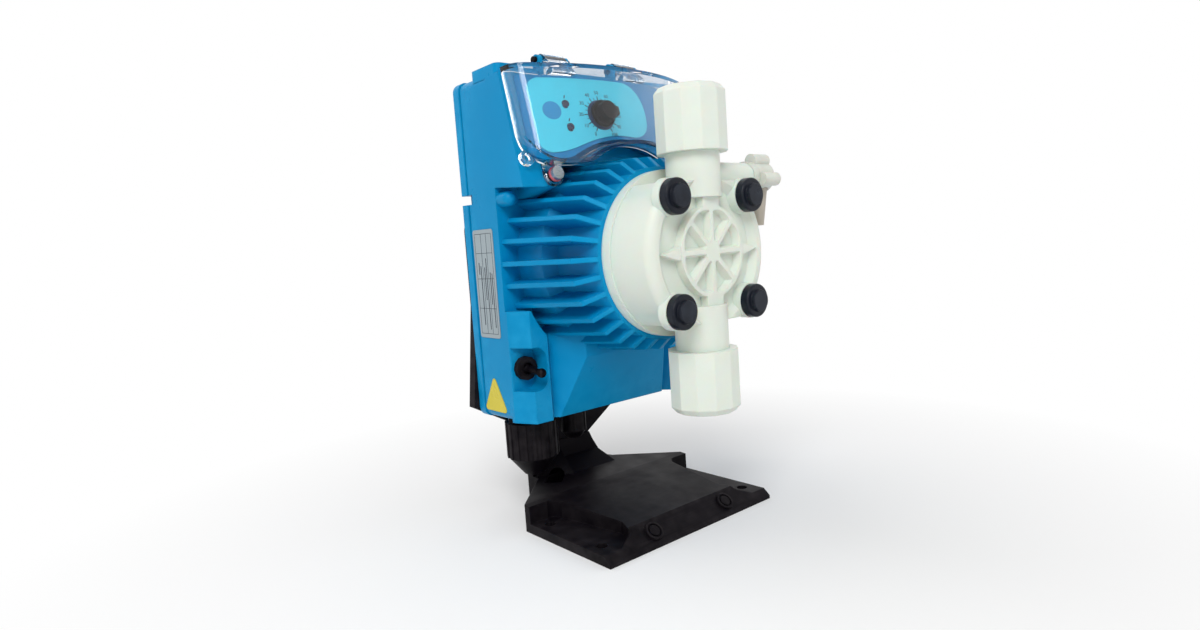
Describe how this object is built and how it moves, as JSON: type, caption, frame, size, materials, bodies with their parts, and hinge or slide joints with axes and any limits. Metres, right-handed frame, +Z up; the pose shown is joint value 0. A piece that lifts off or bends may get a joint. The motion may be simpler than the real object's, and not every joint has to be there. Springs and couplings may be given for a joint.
{
  "type": "diaphragm metering pump",
  "caption": "Solenoid diaphragm metering pump with finned plastic housing, ribbed pump head, hose nuts, bleed valve, hinged clear panel cover and foot bracket.",
  "frame": {"origin": "centre of the foot's four fixing holes, on the underside of the foot", "axes": "+X to the right of someone facing the control panel, -Y out of the pump head, +Z up"},
  "size_m": [0.114, 0.1225, 0.22],
  "materials": {
    "case_blue": "satin",
    "panel_blue": "satin",
    "decal_blue": "satin",
    "ivory": "satin",
    "grey_plastic": "satin",
    "beige_plastic": "satin",
    "black_plastic": "satin",
    "navy_cap": "satin",
    "clear": "polished",
    "rubber": "matte",
    "pink_rubber": "matte",
    "steel": "brushed",
    "board_green": "satin",
    "copper": "lacquered",
    "ceramic": "polished",
    "diaphragm_white": "matte",
    "label_grey": "satin",
    "label_yellow": "satin",
    "lamp_dark": "polished"
  },
  "bodies": {
    "pump_case": {"bleed_body": "grey_plastic", "bolt_caps": "navy_cap", "bracket_screws": "steel", "case_gasket": "rubber", "case_screws": "steel", "circuit_board": "board_green", "coil_bobbin": "black_plastic", "control_panel": "panel_blue", "discharge_cage": "ivory", "discharge_clamp_ring": "ivory", "discharge_nozzle": "ivory", "discharge_nut": "ivory", "discharge_o_ring": "rubber", "discharge_seat": "grey_plastic", "foot_bracket": "black_plastic", "foot_plugs": "black_plastic", "front_housing": "case_blue", "head_bolts": "steel", "head_spacer": "ivory", "hinge_pins": "black_plastic", "magnet_yoke": "steel", "panel_decal": "decal_blue", "pole_piece": "steel", "potentiometer": "steel", "power_gland_body": "black_plastic", "power_gland_nut": "black_plastic", "power_gland_seal": "rubber", "pump_head": "ivory", "rating_plate": "label_grey", "rear_cover": "case_blue", "return_spring": "steel", "side_sticker": "label_yellow", "signal_gland_body": "black_plastic", "signal_gland_nut": "black_plastic", "signal_gland_seal": "rubber", "solenoid_coil": "copper", "status_lamps": "lamp_dark", "suction_cage": "ivory", "suction_clamp_ring": "ivory", "suction_nozzle": "ivory", "suction_nut": "ivory", "suction_o_ring": "rubber", "suction_seat": "grey_plastic", "switch_body": "black_plastic", "switch_ring": "black_plastic"},
    "rate_knob_body": {"rate_knob": "black_plastic", "knob_shaft": "steel"},
    "cover": {"clear_cover": "clear", "cover_screws": "steel", "screw_seals": "pink_rubber"},
    "toggle": {"toggle_lever": "black_plastic"},
    "bleed_handle": {"bleed_knob": "grey_plastic", "bleed_nozzle": "beige_plastic"},
    "drive_rod": {"plunger": "steel", "push_rod": "steel", "diaphragm": "diaphragm_white"},
    "suction_ball_body": {"suction_ball": "ceramic"},
    "discharge_ball_body": {"discharge_ball": "ceramic"}
  },
  "joints": [
    {"name": "rate_knob_turn", "type": "hinge", "parent": "pump_case", "child": "rate_knob_body", "pos_m": [-0.01, 0.00586, 0.19], "axis": [0, 0.9703, -0.2419], "range_deg": [-240, 60]},
    {"name": "cover_hinge", "type": "hinge", "parent": "pump_case", "child": "cover", "pos_m": [0, 0.025, 0.217], "axis": [-1, 0, 0], "range_deg": [0, 95]},
    {"name": "power_toggle", "type": "hinge", "parent": "pump_case", "child": "toggle", "pos_m": [-0.0466, 0.0272, 0.077], "axis": [-1, 0, 0], "range_deg": [0, 12]},
    {"name": "bleed_turn", "type": "hinge", "parent": "pump_case", "child": "bleed_handle", "pos_m": [0.042, -0.0395, 0.1573], "axis": [1, 0, 0], "range_deg": [0, 90]},
    {"name": "drive_stroke", "type": "slide", "parent": "pump_case", "child": "drive_rod", "axis": [0, -1, 0], "range_m": [0, 0.0012], "stiffness_N_per_m": 8000, "deforming": ["return_spring", "diaphragm"]},
    {"name": "suction_ball_lift", "type": "slide", "parent": "pump_case", "child": "suction_ball_body", "axis": [0, 0, 1], "range_m": [0, 0.0015]},
    {"name": "discharge_ball_lift", "type": "slide", "parent": "pump_case", "child": "discharge_ball_body", "axis": [0, 0, 1], "range_m": [0, 0.0015]}
  ]
}
